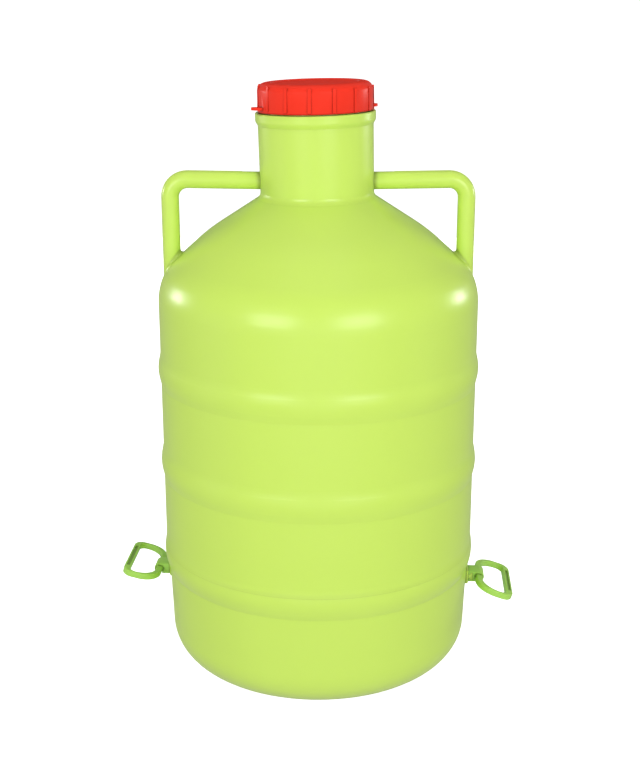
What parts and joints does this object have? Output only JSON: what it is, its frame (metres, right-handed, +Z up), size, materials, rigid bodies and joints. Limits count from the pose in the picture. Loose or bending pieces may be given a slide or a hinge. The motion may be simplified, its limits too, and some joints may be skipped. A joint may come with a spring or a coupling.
{
  "type": "carboy with loop handles",
  "caption": "Tall round blow-moulded carboy with rolling hoops, tube handles beside the neck, a ribbed screw cap and a hinged loop handle low on each flank.",
  "frame": {"origin": "on the floor at the middle of the base, on the body's axis", "axes": "+Z up along the body, X through the two tube handles, -Y towards the front"},
  "size_m": [0.478, 0.3756, 0.6896],
  "materials": {
    "body": "soft satin, lime green HDPE",
    "cap": "semi-gloss red",
    "gasket": "matt off-white",
    "loop": "semi-gloss grass green"
  },
  "bodies": {
    "carboy": {"carboy_body": "body", "handle_bracket_left": "loop", "handle_bracket_right": "loop"},
    "liner": {"cap_gasket": "gasket"},
    "cap": {"screw_cap": "cap"},
    "left_loop": {"tilt_handle_left": "loop"},
    "right_loop": {"tilt_handle_right": "loop"}
  },
  "joints": [
    {"name": "cap_lift", "type": "slide", "parent": "carboy", "child": "liner", "axis": [-0.0227, 0, 0.9997], "range_m": [0, 0.0122]},
    {"name": "cap_turn", "type": "hinge", "parent": "liner", "child": "cap", "pos_m": [-0.0011, 0, 0.561], "axis": [-0.0227, 0, 0.9997], "range_deg": [0, 540]},
    {"name": "left_loop_swing", "type": "hinge", "parent": "carboy", "child": "left_loop", "pos_m": [-0.19659, 0.01271, 0.098], "axis": [0.0645, 0.9979, 0], "range_deg": [-104, 76]},
    {"name": "right_loop_swing", "type": "hinge", "parent": "carboy", "child": "right_loop", "pos_m": [0.19659, -0.01271, 0.098], "axis": [-0.0645, -0.9979, 0], "range_deg": [-72, 108]}
  ],
  "couplings": [
    {"joint": "cap_lift", "follows": "cap_turn", "m_per_rad": 0.0012732}
  ]
}
